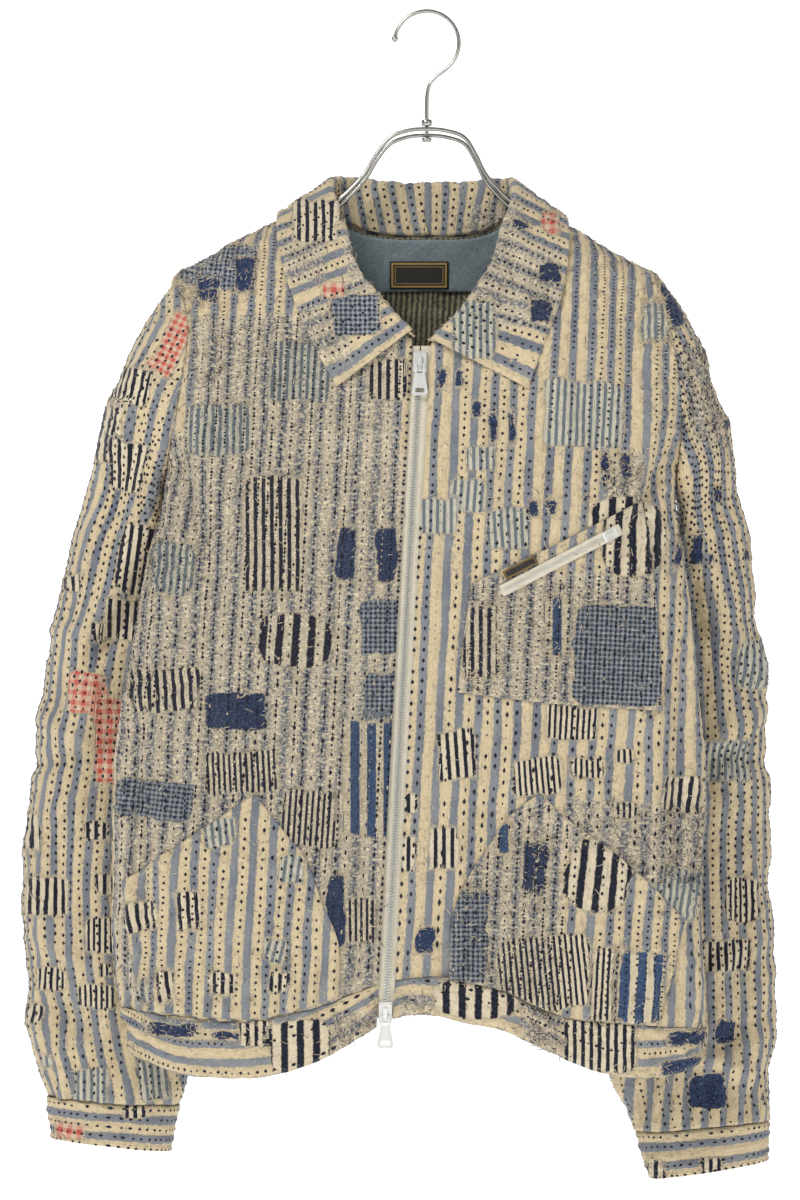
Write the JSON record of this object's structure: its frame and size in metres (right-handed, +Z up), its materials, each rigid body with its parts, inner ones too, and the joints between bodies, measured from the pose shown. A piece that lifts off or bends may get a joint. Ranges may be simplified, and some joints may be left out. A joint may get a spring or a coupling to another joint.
{
  "type": "patched boro jacket on a metal hanger",
  "caption": "Zip-front work jacket of patched, striped and hand-stitched cloth with slanted pockets, hanging closed on a steel wire hanger.",
  "frame": {"origin": "the point inside the top of the hanger's hook that a rail bears on", "axes": "+Z up along the hanger's shaft, +X to the viewer's right, and the jacket's fronts face -Y"},
  "size_m": [0.6142, 0.1463, 0.9485],
  "materials": {
    "cloth": "cream and grey-blue striped cotton, patched, hand-stitched and frayed",
    "facing": "washed grey-blue chambray",
    "label": "black woven label with a plain gold border",
    "zip_tape": "cream woven tape",
    "zip_metal": "worn satin",
    "hanger_steel": "satin nickel"
  },
  "bodies": {
    "root": {"front_left": "cloth", "front_right": "cloth", "back": "cloth", "neck_facing": "facing", "neck_label": "label", "hem_band_front_left": "cloth", "hem_band_front_right": "cloth", "hem_band_back": "cloth", "sleeve_left": "cloth", "sleeve_right": "cloth", "cuff_left": "cloth", "cuff_right": "cloth", "collar": "cloth", "pocket_left": "cloth", "pocket_right": "cloth", "pocket_chest": "cloth", "chest_zip_tape": "zip_tape", "chest_label": "label", "chest_zip_slider": "zip_metal", "zip_tape_left": "zip_tape", "zip_tape_right": "zip_tape", "zip_slider_top": "zip_metal", "zip_slider_bottom": "zip_metal", "hanger_hook": "hanger_steel", "hanger_ferrule": "hanger_steel", "hanger_rail_front": "hanger_steel", "hanger_rail_back": "hanger_steel"},
    "pull_top": {"zip_pull_top": "zip_metal"},
    "pull_bottom": {"zip_pull_bottom": "zip_metal"}
  },
  "joints": [
    {"name": "pull_top_swing", "type": "hinge", "parent": "root", "child": "pull_top", "pos_m": [-0.0059, -0.05918, -0.28677], "axis": [-1, 0, 0], "range_deg": [0, 110]},
    {"name": "pull_bottom_swing", "type": "hinge", "parent": "root", "child": "pull_bottom", "pos_m": [-0.0332, -0.07928, -0.80172], "axis": [-1, 0, 0], "range_deg": [0, 110]}
  ]
}
